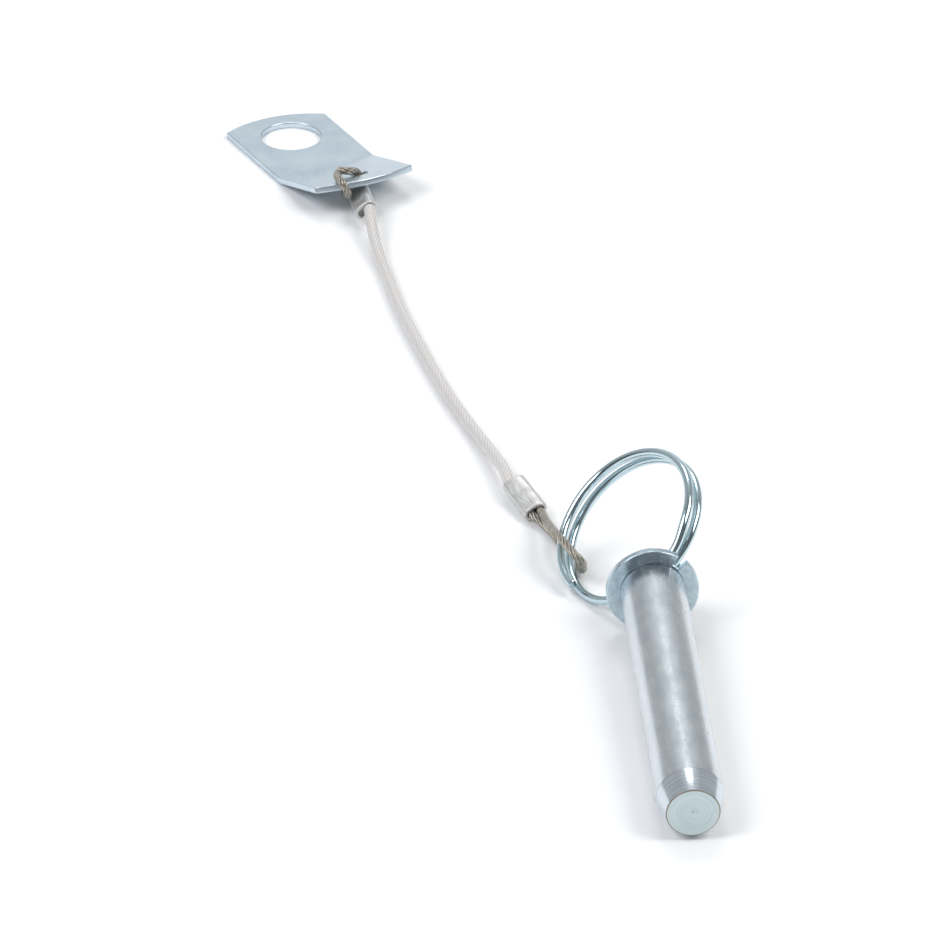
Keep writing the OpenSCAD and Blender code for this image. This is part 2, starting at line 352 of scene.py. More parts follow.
def ferrule_mesh(mesh_name, ends, roll, dents):
    """A sleeve between two points. A dent is its place along, its width and its depth, all as shares."""
    start, stop = above_surface(ends)
    length = (stop - start).length * 1000
    axis = (stop - start).normalized()
    turn = Matrix.Rotation(math.atan2(axis.y, axis.x), 3, "Z") @ Matrix.Rotation(math.acos(axis.z), 3, "Y")
    turn = turn @ Matrix.Rotation(math.radians(roll), 3, "Z")
    near_end = [(depth, MOUTH_W, MOUTH_T, 0.0) for depth in (MOUTH_DEEP, 0.5, 0.12)]
    near_end.append((0.0, MOUTH_W + MOUTH_FLARE, MOUTH_T + MOUTH_FLARE, 0.0))
    for i in range(LIP_STEPS + 1):
        a = math.pi / 2 * i / LIP_STEPS
        less = 2 * LIP * (1 - math.sin(a))
        near_end.append((LIP * (1 - math.cos(a)), FERRULE_W - less, FERRULE_T - less, WAIST))
    body = []
    for i in range(1, STATIONS):
        t = i / STATIONS
        dent = sum(deep * math.exp(-((t - at) / wide) ** 2) for at, wide, deep in dents)
        width, thickness = FERRULE_W + DENT_WIDENS * dent, FERRULE_T * (1 - DENT_FLATTENS * dent)
        body.append((LIP + (length - 2 * LIP) * t, width, thickness, WAIST + dent))
    far_end = [(length - depth, *section) for depth, *section in near_end[::-1]]
    rings, distances, run = [], [], 0.0
    for z, width, thickness, pinch in near_end + body + far_end:
        rings.append([start + turn @ mm(x, y, z) for x, y in oval(width, thickness, pinch)])
        run += mm(0.5)
        distances.append(run)
    return skin(mesh_name, rings, distances, mm(2 * FERRULE_W + 2 * FERRULE_T))


ring_ferrule = piece(
    "ring_ferrule_sleeve",
    ferrule_mesh("ring_ferrule_sleeve", [(-23.6, 56.0, 2.6), (-28.2, 68.6, 4.0)], -20,
                 [(0.25, 0.14, 0.10), (0.62, 0.16, 0.12)]),
    "ring_end", "ring_ferrule", slot="ferrule_aluminium",
)
tab_ferrule = piece(
    "tab_ferrule_sleeve",
    ferrule_mesh("tab_ferrule_sleeve", [(-57.0, 232.2, 3.4), (-55.8, 218.9, 4.6)], 35,
                 [(0.35, 0.16, 0.10), (0.75, 0.12, 0.12)]),
    "tab_end", "tab_ferrule", slot="ferrule_aluminium",
)
print("ferrules pressed on both ends of the rope")

# %% [markdown]
# Turned pieces are drawn as half of their outline and spun about the axis. The sharp corners that a lathe
# leaves are broken by a small file cut, and that narrow band is what catches the light, so each corner gets
# a rounded step here. The outline is in millimetres, as radius and height along the pin.

# %% A lathe
CORNER_STEPS = 4


def corner(r0, z0, r1, z1, r2, z2, cut):
    """Points that round the corner (r1, z1) between its two neighbours by about the given cut."""
    a, b, c = Vector((r0, z0)), Vector((r1, z1)), Vector((r2, z2))
    start, stop = b + (a - b).normalized() * cut, b + (c - b).normalized() * cut
    points = []
    for i in range(CORNER_STEPS + 1):
        t = i / CORNER_STEPS
        points.append(tuple((1 - t) ** 2 * start + 2 * t * (1 - t) * b + t ** 2 * stop))
    return points


def rounded(outline, cuts):
    """The outline with the corners rounded whose numbers are in cuts, each by its own amount."""
    points = [outline[0]]
    for i in range(1, len(outline) - 1):
        cut = cuts.get(i, 0.0)
        points += corner(*outline[i - 1], *outline[i], *outline[i + 1], cut) if cut else [outline[i]]
    return points + [outline[-1]]


def lathe_mesh(mesh_name, profile, segments, place):
    """Spins an outline of radius and height, in millimetres, about +Z and lays it in its place."""
    mesh = bmesh.new()
    uv = mesh.loops.layers.uv.new("along")
    along, run = [], 0.0
    for i, (r, z) in enumerate(profile):
        run += math.dist((r, z), profile[i - 1]) if i else 0.0
        along.append(run / 1000)
    rows = []
    for r, z in profile:
        if r < 1e-6:
            rows.append([mesh.verts.new(place @ mm(0, 0, z))])
        else:
            spin = (2 * math.pi * k / segments for k in range(segments))
            rows.append([mesh.verts.new(place @ mm(r * math.cos(a), r * math.sin(a), z)) for a in spin])
    girth = mm(2 * math.pi * SHANK_R)
    for i in range(len(rows) - 1):
        low, high = rows[i], rows[i + 1]
        for k in range(segments):
            j = (k + 1) % segments
            if len(low) == 1:
                corners, marks = (low[0], high[k], high[j]), ((k, i), (k, i + 1), (k + 1, i + 1))
            elif len(high) == 1:
                corners, marks = (low[k], high[0], low[j]), ((k, i), (k, i + 1), (k + 1, i))
            else:
                corners = (low[k], high[k], high[j], low[j])
                marks = ((k, i), (k, i + 1), (k + 1, i + 1), (k + 1, i))
            face = mesh.faces.new(corners)
            face.smooth = True
            for loop, (u, v) in zip(face.loops, marks):
                loop[uv].uv = (girth * u / segments, along[v])
    bmesh.ops.recalc_face_normals(mesh, faces=mesh.faces)
    data = bpy.data.meshes.new(mesh_name)
    mesh.to_mesh(data)
    mesh.free()
    return data


def crisp(data, angle):
    """Marks every edge sharper than the angle, so that smooth shading stops there."""
    mesh = bmesh.new()
    mesh.from_mesh(data)
    for edge in mesh.edges:
        edge.smooth = len(edge.link_faces) == 2 and edge.calc_face_angle(0.0) < math.radians(angle)
    for face in mesh.faces:
        face.smooth = True
    mesh.to_mesh(data)
    mesh.free()


def cut_away(target, cutter_data):
    """Takes the cutter's shape out of the target's mesh, for a drilled hole."""
    cutter = bpy.data.objects.new("cutter", cutter_data)
    bpy.context.scene.collection.objects.link(cutter)
    hole = target.modifiers.new("hole", "BOOLEAN")
    hole.operation, hole.solver, hole.object = "DIFFERENCE", "EXACT", cutter
    bpy.context.view_layer.update()
    cut = target.evaluated_get(bpy.context.evaluated_depsgraph_get())
    result = bpy.data.meshes.new_from_object(cut)
    target.modifiers.remove(hole)
    old, target.data = target.data, result
    result.name = target.name
    bpy.data.meshes.remove(old)
    bpy.data.objects.remove(cutter)
    bpy.data.meshes.remove(cutter_data)


print("lathe ready")

# %% [markdown]
# The pin is turned from bright bar. Its nose is tapered so that it finds the hole, with a small pip left at
# the middle of its end face where the part was cut off. Behind the collar's groove is a short head, drilled
# across for the ring. A second, blind hole near the nose holds the ball and its spring.

# %% The pin
GROOVE_R, GROOVE_FRONT, GROOVE_END, SHOULDER_CUT = 7.2, -0.05, 1.95, 0.25
HEAD_FULL, HEAD_LEN, HEAD_END_R = 5.2, 8.2, 6.0
TIP_R, PIN_SIDES, LONGEST_FACE = 6.3, 160, 4.0
pip = [(0.0, -REACH - 0.14), (0.22, -REACH - 0.12), (0.42, -REACH), (0.75, -REACH + 0.07), (1.0, -REACH)]
outline = pip + [
    (TIP_R, -REACH), (SHANK_R, NOSE - REACH), (SHANK_R, GROOVE_FRONT - SHOULDER_CUT),
    (SHANK_R - SHOULDER_CUT, GROOVE_FRONT), (GROOVE_R, GROOVE_FRONT), (GROOVE_R, GROOVE_END),
    (SHANK_R - SHOULDER_CUT, GROOVE_END), (SHANK_R, GROOVE_END + SHOULDER_CUT),
    (SHANK_R, GROOVE_END + HEAD_FULL), (HEAD_END_R, GROOVE_END + HEAD_LEN), (0.0, GROOVE_END + HEAD_LEN),
]
profile = rounded(outline, {5: 0.22, 6: 0.35, 13: 0.3, 14: 0.4})
fine_profile = []
for (r0, z0), (r1, z1) in zip(profile, profile[1:]):
    parts = max(1, round(math.dist((r0, z0), (r1, z1)) / LONGEST_FACE))
    fine_profile += [(r0 + (r1 - r0) * i / parts, z0 + (z1 - z0) * i / parts) for i in range(parts)]
fine_profile.append(profile[-1])
pin = piece("pin_bar", lathe_mesh("pin_bar", fine_profile, PIN_SIDES, ALONG_PIN), "pin_body", "pin",
            slot="zinc_steel")


def out_of_side(height, angle):
    """The place of something that stands straight out of the pin's side."""
    on_axis = ALONG_PIN @ Matrix.Translation(mm(0, 0, height)) @ Matrix.Rotation(-angle, 4, "Z")
    return on_axis @ Matrix.Rotation(math.pi / 2, 4, "Y")


CROSS_R, BEYOND = 2.85, 12
across = out_of_side(GROOVE_END + 3.55, math.radians(41.7))
drill = [(0, -BEYOND), (CROSS_R, -BEYOND), (CROSS_R, BEYOND), (0, BEYOND)]
cut_away(pin, lathe_mesh("drill", drill, 64, across))

BALL_R, BALL_OUT, BALL_FROM_TIP, BALL_ANGLE = 2.38, 1.1, 12.8, math.radians(212)
BALL_AT, BORE_FLOOR, OUTSIDE = SHANK_R + BALL_OUT - BALL_R, -1, 10
out_of_bore = out_of_side(BALL_FROM_TIP - REACH, BALL_ANGLE)
bore_r, lip_z = BALL_R + 0.05, BALL_AT + 1.2
lip_r = math.sqrt(BALL_R ** 2 - (SHANK_R - 0.15 - BALL_AT) ** 2) + 0.04
bore = [(0, BORE_FLOOR), (bore_r, BORE_FLOOR), (bore_r, lip_z)]
bore += [(lip_r, lip_z), (lip_r, OUTSIDE), (0, OUTSIDE)]
cut_away(pin, lathe_mesh("drill", bore, 48, out_of_bore))
crisp(pin.data, 28)
print("pin:", len(pin.data.polygons), "faces")

# %% [markdown]
# The collar is a flat ring with a gap, stamped from strip and sprung into the groove. It can turn but not
# slide. Its section is a rectangle with rounded corners, carried round the axis from one side of the gap to
# the other.

# %% The collar
COLLAR_T, BORE_R, GAP, GAP_AT = 1.9, 7.26, math.radians(15.5), math.radians(50)
ROUND, LEAD_R, LEAD, COLLAR_STATIONS = 0.28, 8.12, 0.4, 140


def quarter(centre_r, centre_z, first):
    """Points a quarter of a turn round one corner of the section, from the first angle in degrees."""
    angles = [math.radians(first + 90 * i / CORNER_STEPS) for i in range(CORNER_STEPS + 1)]
    return [(centre_r + ROUND * math.cos(a), centre_z + ROUND * math.sin(a)) for a in angles]


section = quarter(COLLAR_R - ROUND, COLLAR_T - ROUND, 0) + quarter(BORE_R + ROUND, COLLAR_T - ROUND, 90)
section += [(BORE_R, LEAD), (LEAD_R, 0.0)] + quarter(COLLAR_R - ROUND, ROUND, 270)
rings, distances = [], []
for i in range(COLLAR_STATIONS + 1):
    a = -GAP_AT + GAP / 2 + (2 * math.pi - GAP) * i / COLLAR_STATIONS
    rings.append([ALONG_PIN @ mm(r * math.cos(a), r * math.sin(a), z) for r, z in section])
    distances.append(mm(COLLAR_R) * a)
collar_data = skin("collar_ring", rings, distances, mm(2 * (COLLAR_R - BORE_R + COLLAR_T)))
crisp(collar_data, 40)
collar = piece("collar_ring", collar_data, "collar_body", "collar", slot="zinc_collar")
collar.modifiers.new("flat_faces", "WEIGHTED_NORMAL").keep_sharp = True
print("collar:", len(collar_data.polygons), "faces")

# %% [markdown]
# The pull ring is a key ring: hard round wire wound nearly twice round, cut square and dropped in zinc. It
# goes through the head once for each turn. One coil crosses to the other inside the head, and the two are
# spread apart where the lanyard goes through, with the cut end just past it.

# %% The pull ring
RING_R, WIRE_R, SOLID_WIRE_R, COIL_OUT, CLEAR = 19.7, 1.13, 1.15, 1.75, 0.02
LEAN_DOWN, LEAN_UP = 0.696, 0.718
RING_LOW, RING_NORMAL = Vector((-0.666, -0.269, -LEAN_DOWN)), Vector((-0.645, -0.261, LEAN_UP))
RING_SIDE = RING_NORMAL.cross(RING_LOW)
RING_UP = SURFACE + RING_R * LEAN_DOWN + SOLID_WIRE_R + COIL_OUT * LEAN_UP + CLEAR
RING_CENTRE = Vector((-3.6, 23.5, RING_UP))
RING_SWEEP, TURN_STEP = 634, 2
COIL_OFFSETS = [(0, COIL_OUT), (235, COIL_OUT), (262, 0.47), (276, 0.47), (352, -COIL_OUT),
                (592, -COIL_OUT), (622, -1.93), (RING_SWEEP, -1.93)]


def coil_offset(angle):
    """How far the wire stands to one side of the ring's middle plane, eased from one stop to the next."""
    for (a0, v0), (a1, v1) in zip(COIL_OFFSETS, COIL_OFFSETS[1:]):
        if angle <= a1:
            t = (angle - a0) / (a1 - a0)
            t = t * t * (3 - 2 * t)
            return v0 + (v1 - v0) * t
    return COIL_OFFSETS[-1][1]


coil = []
for step in range(0, RING_SWEEP + 1, TURN_STEP):
    phi = math.radians(-step)
    coil.append((RING_CENTRE + RING_R * (math.cos(phi) * RING_LOW + math.sin(phi) * RING_SIDE)
                 + coil_offset(step) * RING_NORMAL) / 1000)
pull_ring = piece("pull_ring_wire", wire_mesh("pull_ring_wire", coil, mm(WIRE_R), 28, mm(0.16)),
                  "ring_body", "pull_ring", slot="ring_wire")
crisp(pull_ring.data, 35)
print("pull ring:", len(coil), "stations of wire")

# %% [markdown]
# The ball is a bearing ball, 3/16 in across, and it needs nothing but its polish. It stands out of the
# shank on the side that faces down. The coil spring under it is drawn as one wire.

# %% The ball and its spring
def ball_mesh(mesh_name, radius, place, steps=32, sides=48):
    half = []
    for i in range(steps + 1):
        a = math.pi * i / steps
        half.append((radius * math.sin(a), -radius * math.cos(a)))
    half[0], half[-1] = (0.0, -radius), (0.0, radius)
    return lathe_mesh(mesh_name, half, sides, place)


in_bore = out_of_bore @ Matrix.Translation(mm(0, 0, BALL_AT))
ball = piece("ball_bearing", ball_mesh("ball_bearing", BALL_R, in_bore), "ball_body", "detent_ball",
             slot="ball_steel")
SPRING_WIRE, SPRING_R, SPRING_TURNS, STEPS_PER_TURN = 0.28, 1.78, 5, 24
foot, head = BORE_FLOOR + SPRING_WIRE + 0.01, BALL_AT - BALL_R
winding = []
for step in range(SPRING_TURNS * STEPS_PER_TURN + 1):
    a, t = 2 * math.pi * step / STEPS_PER_TURN, step / (SPRING_TURNS * STEPS_PER_TURN)
    x, y, z = SPRING_R * math.cos(a), SPRING_R * math.sin(a), foot + (head - foot) * t
    winding.append(out_of_bore @ mm(x, y, z))
spring = piece("ball_spring", wire_mesh("ball_spring", winding, mm(SPRING_WIRE), 10), "pin_body",
               "detent_spring", slot="spring_steel")
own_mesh(spring)
print("ball stands", BALL_OUT, "mm out of the shank")

# %% [markdown]
# The anchor tab is a blank punched from 1.7 mm strip and bent once. It is drawn flat first, which is how it
# is made: the outline and the two holes, with a small rounded edge from the punch all the way round. The
# flat blank is then cut into narrow bands where the bend will be, and every point is carried round the
# bend.

# %% The anchor tab
TAB_W, TAB_T, TAB_FAR, TAB_NEAR, TAB_END_R = 29.2, 1.7, 13.3, 47.3, 29.0
BEND_AT, BEND_R, BEND = 20.5, 1.5, math.radians(17)
BOLT_R, ROPE_HOLE_R, ROPE_HOLE_FROM_BEND, ROPE_HOLE_V = 8.25, 2.5, 18.0, 1.0
END_STEPS, BEND_BANDS, SHARPEST = 28, 8, 0.35
NEUTRAL = BEND_R + TAB_T


def on_arc(centre_u, centre_v, sign, v):
    return centre_u + sign * math.sqrt(TAB_END_R ** 2 - (v - centre_v) ** 2)


half_w = TAB_W / 2
edge = []
for i in range(END_STEPS + 1):
    v = -half_w + TAB_W * i / END_STEPS
    edge.append((on_arc(TAB_NEAR - TAB_END_R, 0.6, 1, v), v))
for i in range(END_STEPS + 1):
    v = half_w - TAB_W * i / END_STEPS
    edge.append((on_arc(TAB_END_R - TAB_FAR, -2.0, -1, v), v))


def inset(points, by):
    """The same closed outline moved inwards, or into the metal round a hole."""
    moved = []
    for i, (u, v) in enumerate(points):
        before, after = Vector(points[i - 1]), Vector(points[(i + 1) % len(points)])
        here = Vector((u, v))
        a, b = (here - before).normalized(), (after - here).normalized()
        inward = Vector((-a.y, a.x)) + Vector((-b.y, b.x))
        reach = by / max(SHARPEST, math.sqrt((1 + a.dot(b)) / 2))
        moved.append(tuple(here + inward.normalized() * reach))
    return moved


def circle(u, v, radius, count):
    angles = [-2 * math.pi * k / count for k in range(count)]
    return [(u + radius * math.cos(a), v + radius * math.sin(a)) for a in angles]


def bent(u, v, w):
    """Where a point of the flat blank goes: u along it, v across it, w above its underside."""
    if u <= BEND_AT:
        x, z = u, w
    else:
        turn = min((u - BEND_AT) / NEUTRAL, BEND)
        x = BEND_AT + (NEUTRAL - w) * math.sin(turn)
        z = NEUTRAL - (NEUTRAL - w) * math.cos(turn)
        rest = u - BEND_AT - NEUTRAL * turn
        x, z = x + rest * math.cos(turn), z + rest * math.sin(turn)
    return Vector((x, v, z))


def unrolled(u):
    """The raised end is measured in plan, so on the flat blank it is longer by the slope."""
    if u <= BEND_AT + NEUTRAL * math.sin(BEND):
        return u
    return BEND_AT + NEUTRAL * BEND + (u - BEND_AT - NEUTRAL * math.sin(BEND)) / math.cos(BEND)


hole_u = BEND_AT + NEUTRAL * BEND + ROPE_HOLE_FROM_BEND
outlines = [
    [(unrolled(u), v) for u, v in edge],
    circle(0.0, 0.0, BOLT_R, 96),
    circle(hole_u, ROPE_HOLE_V, ROPE_HOLE_R, 48),
]
EDGE_ROUND = [(0.32, TAB_T), (0.16, TAB_T - 0.03), (0.05, TAB_T - 0.12), (0.0, TAB_T - 0.3), (0.0, 0.28),
              (0.04, 0.1), (0.14, 0.02), (0.28, 0.0)]
blank = bmesh.new()
top_loops, under_loops = [], []
for points in outlines:
    rows = [[blank.verts.new((u, v, height)) for u, v in inset(points, by)] for by, height in EDGE_ROUND]
    for upper, lower in zip(rows, rows[1:]):
        for k in range(len(points)):
            j = (k + 1) % len(points)
            blank.faces.new((upper[k], lower[k], lower[j], upper[j]))
    top_loops.append(rows[0])
    under_loops.append(rows[-1])
for loops in (top_loops, under_loops):
    flat = [v for loop in loops for v in loop]
    for tri in tessellate_polygon([[v.co.copy() for v in loop] for loop in loops]):
        blank.faces.new([flat[i] for i in tri])
bands = [BEND_AT + NEUTRAL * BEND * i / BEND_BANDS for i in range(BEND_BANDS + 1)]
for cut in [-8, 0, 8, 14] + bands + [28, 33, 38, 43]:
    geometry = blank.verts[:] + blank.edges[:] + blank.faces[:]
    bmesh.ops.bisect_plane(blank, geom=geometry, plane_co=(cut, 0, 0), plane_no=(1, 0, 0), dist=1e-6)
for vert in blank.verts:
    vert.co = bent(*vert.co)
bmesh.ops.recalc_face_normals(blank, faces=blank.faces)
TAB_PLACE = Matrix.Translation(mm(-73.2, 270.8, SURFACE)) @ Matrix.Rotation(math.radians(-65.85), 4, "Z")
for vert in blank.verts:
    vert.co = TAB_PLACE @ (vert.co / 1000)
for face in blank.faces:
    face.smooth = True
tab_data = bpy.data.meshes.new("anchor_tab_plate")
blank.to_mesh(tab_data)
open_edges = sum(1 for e in blank.edges if len(e.link_faces) != 2)
blank.free()
crisp(tab_data, 40)
tab = piece("anchor_tab_plate", tab_data, "tab_body", "anchor_tab", slot="zinc_tab")
tab.modifiers.new("flat_faces", "WEIGHTED_NORMAL").keep_sharp = True
print("anchor tab:", len(tab_data.polygons), "faces,", open_edges, "open edges")

# %% [markdown]
# A material is a small graph of nodes. One function adds a node, sets what it is given and joins the rest,
# so each finish below reads as a list of what it is made of. A second joins the results to the shader, and
# a third gives a piece its finishes.

# %% Adding nodes and giving out finishes
def add(owner, kind, inputs=None, stops=(), **settings):
    """Adds a node to a material or a world. An input is a plain value, or the output to join to it."""
    node = owner.node_tree.nodes.new(kind)
    for name, value in settings.items():
        setattr(node, name, value)
    for i, (at, colour) in enumerate(stops):
        element = node.color_ramp.elements[i]
        element.position, element.color = at, colour
    for name, value in (inputs or {}).items():
        if isinstance(value, bpy.types.NodeSocket):
            owner.node_tree.links.new(value, node.inputs[name])
        else:
            node.inputs[name].default_value = value
    return node


def new_material(name, **shader):
    material = bpy.data.materials.new(name)
    material.use_nodes = True
    principled = material.node_tree.nodes["Principled BSDF"]
    for socket, value in shader.items():
        principled.inputs[socket.replace("_", " ")].default_value = value
    return material, principled


def join(material, principled, **sources):
    """Joins an output to each named socket of the shader."""
    for socket, source in sources.items():
        material.node_tree.links.new(source, principled.inputs[socket.replace("_", " ")])


def dress(owner, *finishes):
    owner.data.materials.clear()
    for finish in finishes:
        owner.data.materials.append(finish)


def per(millimetres):
    """The texture scale that makes one feature this many millimetres across."""
    return 1000.0 / millimetres


print("a 0.5 mm grain is a scale of", per(0.5))

# %% [markdown]
# Zinc plate on drawn bar is a soft blue-grey metal with no hard mirror in it. Under the plate are the faint
# lengthwise marks of the drawing die, and handling leaves pits and small dark nicks. The marks are a noise
# that is stretched along the bar, and the pits are the dark ends of a finer noise.

# %% Zinc-plated drawn bar
CLOUD_MM, FLECK_MM, FINE_MM, PIT_GREY = 9.0, 1.1, 0.35, "#7f8286"


def zinc(name, pale, deep, rough, grain, stretch, pits, bump):
    material, shader = new_material(name, Metallic=1.0)
    place = add(material, "ShaderNodeTexCoord").outputs["Object"]
    drawn = add(material, "ShaderNodeMapping", {"Vector": place, "Scale": stretch}).outputs["Vector"]
    marks = add(material, "ShaderNodeTexNoise", {"Vector": drawn, "Scale": per(grain), "Detail": 4.0})
    cloud = add(material, "ShaderNodeTexNoise", {"Vector": place, "Scale": per(CLOUD_MM), "Detail": 3.0})
    fleck = add(material, "ShaderNodeTexNoise", {"Vector": place, "Scale": per(FLECK_MM), "Detail": 3.0})
    fine = add(material, "ShaderNodeTexNoise", {"Vector": drawn, "Scale": per(FINE_MM), "Detail": 3.0})
    both = add(material, "ShaderNodeMath", {0: marks.outputs["Fac"], 1: cloud.outputs["Fac"]},
               operation="ADD")
    half = add(material, "ShaderNodeMath", {0: both.outputs[0], 1: 0.5}, operation="MULTIPLY").outputs[0]
    plate = add(material, "ShaderNodeValToRGB", {"Fac": half}, [(0.40, tint(deep)), (0.60, tint(pale))])
    pit = add(material, "ShaderNodeValToRGB", {"Fac": fleck.outputs["Fac"]},
              [(pits, (1, 1, 1, 1)), (pits + 0.02, (0, 0, 0, 1))]).outputs["Color"]
    colour = add(material, "ShaderNodeMix", {0: pit, 6: plate.outputs["Color"], 7: tint(PIT_GREY)},
                 data_type="RGBA")
    spread = add(material, "ShaderNodeMapRange", {0: half, 1: 0.35, 2: 0.65, 3: rough[0], 4: rough[1]})
    height = add(material, "ShaderNodeMath", {0: fine.outputs["Fac"], 1: pit}, operation="SUBTRACT")
    relief = add(material, "ShaderNodeBump",
                 {"Height": height.outputs[0], "Strength": bump, "Distance": mm(0.03)})
    join(material, shader, Base_Color=colour.outputs[2], Roughness=spread.outputs[0],
         Normal=relief.outputs["Normal"])
    return material


EVEN = (1.0, 1.0, 1.0)
ALONG_BAR = (1.0, 0.25, 1.0)
zinc_bar = zinc("zinc_plated_drawn_bar", "#d9dfe3", "#cdd4d9", (0.23, 0.29), 1.4, ALONG_BAR, 0.25, 0.32)
zinc_stamping = zinc("zinc_plated_stamping", "#cfdfe6", "#b4c6d0", (0.20, 0.30), 1.8, EVEN, 0.24, 0.30)
zinc_strip = zinc("zinc_plated_strip", "#d0dde5", "#c6d4dd", (0.26, 0.34), 6.0, EVEN, 0.23, 0.12)
dress(collar, zinc_stamping)
dress(tab, zinc_strip)
print("three zinc finishes, on bar, stamping and strip")

# %% [markdown]
# The nose is turned, so its marks go round it, and its end face carries rings like a record's. Both are the
# same pattern: a noise that only changes with the distance along the outline, which the UV map holds.
# Handling wears the plate off the corner of the end face and off the corner where the nose begins.

# %% Turned nose and faced end
def turned(name, pale, deep, rough, pitch, bump):
    material, shader = new_material(name, Metallic=1.0)
    along = add(material, "ShaderNodeUVMap", uv_map="along").outputs["UV"]
    round_it = add(material, "ShaderNodeMapping", {"Vector": along, "Scale": (0.02, 1.0, 1.0)})
    cuts = add(material, "ShaderNodeTexNoise",
               {"Vector": round_it.outputs["Vector"], "Scale": per(pitch), "Detail": 4.0}).outputs["Fac"]
    shade = add(material, "ShaderNodeValToRGB", {"Fac": cuts}, [(0.35, tint(deep)), (0.62, tint(pale))])
    spread = add(material, "ShaderNodeMapRange", {0: cuts, 1: 0.3, 2: 0.7, 3: rough[0], 4: rough[1]})
    relief = add(material, "ShaderNodeBump", {"Height": cuts, "Strength": bump, "Distance": mm(0.02)})
    join(material, shader, Base_Color=shade.outputs["Color"], Roughness=spread.outputs[0],
         Normal=relief.outputs["Normal"])
    return material


turned_nose = turned("turned_zinc_nose", "#dfe6ec", "#c2cbd3", (0.13, 0.24), 0.25, 0.22)
faced_end = turned("faced_zinc_end", "#c8d5d6", "#b9c7c9", (0.34, 0.46), 0.8, 0.12)
worn_edge, shader = new_material("worn_zinc_edge", Metallic=0.7, Roughness=0.5, Base_Color=tint("#8d8478"))
dress(pin, zinc_bar, turned_nose, faced_end, worn_edge)
ON_BAR, ON_NOSE, ON_END, ON_CORNER = range(4)
END_BAND, CORNER_BAND, NOSE_BAND = 0.2, 0.12, 0.3
back = ALONG_PIN.inverted()
for face in pin.data.polygons:
    local = back @ face.center * 1000
    radius = math.hypot(local.x, local.y)
    if local.z < -REACH + END_BAND and radius < TIP_R - END_BAND:
        face.material_index = ON_END
    elif local.z < -REACH + END_BAND or 0 < local.z + REACH - NOSE < CORNER_BAND:
        face.material_index = ON_CORNER
    elif local.z < NOSE - REACH and radius > TIP_R - NOSE_BAND:
        face.material_index = ON_NOSE
    else:
        face.material_index = ON_BAR
print("pin finishes:", [m.name for m in pin.data.materials])

# %% [markdown]
# Spring wire with bright zinc on it is close to a mirror, so the ring shows the studio as white and dark
# lines along the wire. A faint unevenness in the plate keeps the lines from looking drawn with a ruler.

# %% Bright wire, ball and spring
def bright(name, colour, rough, waver, bump):
    material, shader = new_material(name, Metallic=1.0, Base_Color=tint(colour))
    place = add(material, "ShaderNodeTexCoord").outputs["Object"]
    uneven = add(material, "ShaderNodeTexNoise", {"Vector": place, "Scale": per(waver), "Detail": 3.0})
    uneven = uneven.outputs["Fac"]
    spread = add(material, "ShaderNodeMapRange", {0: uneven, 1: 0.3, 2: 0.7, 3: rough * 0.7, 4: rough * 1.5})
    relief = add(material, "ShaderNodeBump", {"Height": uneven, "Strength": bump, "Distance": mm(0.05)})
    join(material, shader, Roughness=spread.outputs[0], Normal=relief.outputs["Normal"])
    return material


dress(pull_ring, bright("bright_zinc_spring_wire", "#c9dce2", 0.12, 2.5, 0.22))
dress(ball, bright("polished_bearing_steel", "#cfd4d8", 0.08, 1.5, 0.05))
dress(spring, bright("drawn_spring_wire", "#9aa4a9", 0.25, 0.5, 0.2))
print("bright finishes on ring, ball and spring")

# %% [markdown]
# Each strand of the rope is a bundle of wires far too thin to model. They show as fine lines that run along
# the strand with a slight twist of their own, so the pattern is a wave across the strand's UV map. Its dark
# bands are painted shade in the grooves between the wires. Real wires are about half as wide as these
# lines, and would be too fine to show. Grease and dust darken the rope to a warm grey. A wave texture goes
# through 20 radians for one unit of its scale, which is why its scale is divided.

# %% Wire rope
WIRE_LINE_MM, WAVE_RADIANS, WIRE_TWIST = 0.40, 20, math.radians(14)
rope_steel, shader = new_material("galvanised_rope_wire", Metallic=0.75, Roughness=0.36)
along = add(rope_steel, "ShaderNodeUVMap", uv_map="along").outputs["UV"]
twisted = add(rope_steel, "ShaderNodeMapping", {"Vector": along, "Rotation": (0, 0, WIRE_TWIST)})
twisted = twisted.outputs["Vector"]
line_scale = per(WIRE_LINE_MM) * 2 * math.pi / WAVE_RADIANS
wires = add(rope_steel, "ShaderNodeTexWave", {"Vector": twisted, "Scale": line_scale, "Distortion": 0.4},
            bands_direction="X")
place = add(rope_steel, "ShaderNodeTexCoord").outputs["Object"]
dust = add(rope_steel, "ShaderNodeTexNoise", {"Vector": place, "Scale": per(1.2), "Detail": 3.0})
groove_shade_and_dust = add(rope_steel, "ShaderNodeMath", {0: wires.outputs["Fac"], 1: dust.outputs["Fac"]},
            operation="MULTIPLY")
# The ramp's dark end paints shade into the grooves between the wires, and the dust noise darkens the rope in
# patches.
shade = add(rope_steel, "ShaderNodeValToRGB", {"Fac": groove_shade_and_dust.outputs[0]},
            [(0.05, tint("#7d776d")), (0.45, tint("#c9c3b8"))])
relief = add(rope_steel, "ShaderNodeBump",
             {"Height": wires.outputs["Fac"], "Strength": 0.25, "Distance": mm(0.03)})
join(rope_steel, shader, Base_Color=shade.outputs["Color"], Normal=relief.outputs["Normal"])
for owner in (ring_loop, tab_loop, core):
    dress(owner, rope_steel)
print("rope finish on", ring_loop.name, tab_loop.name, core.name)
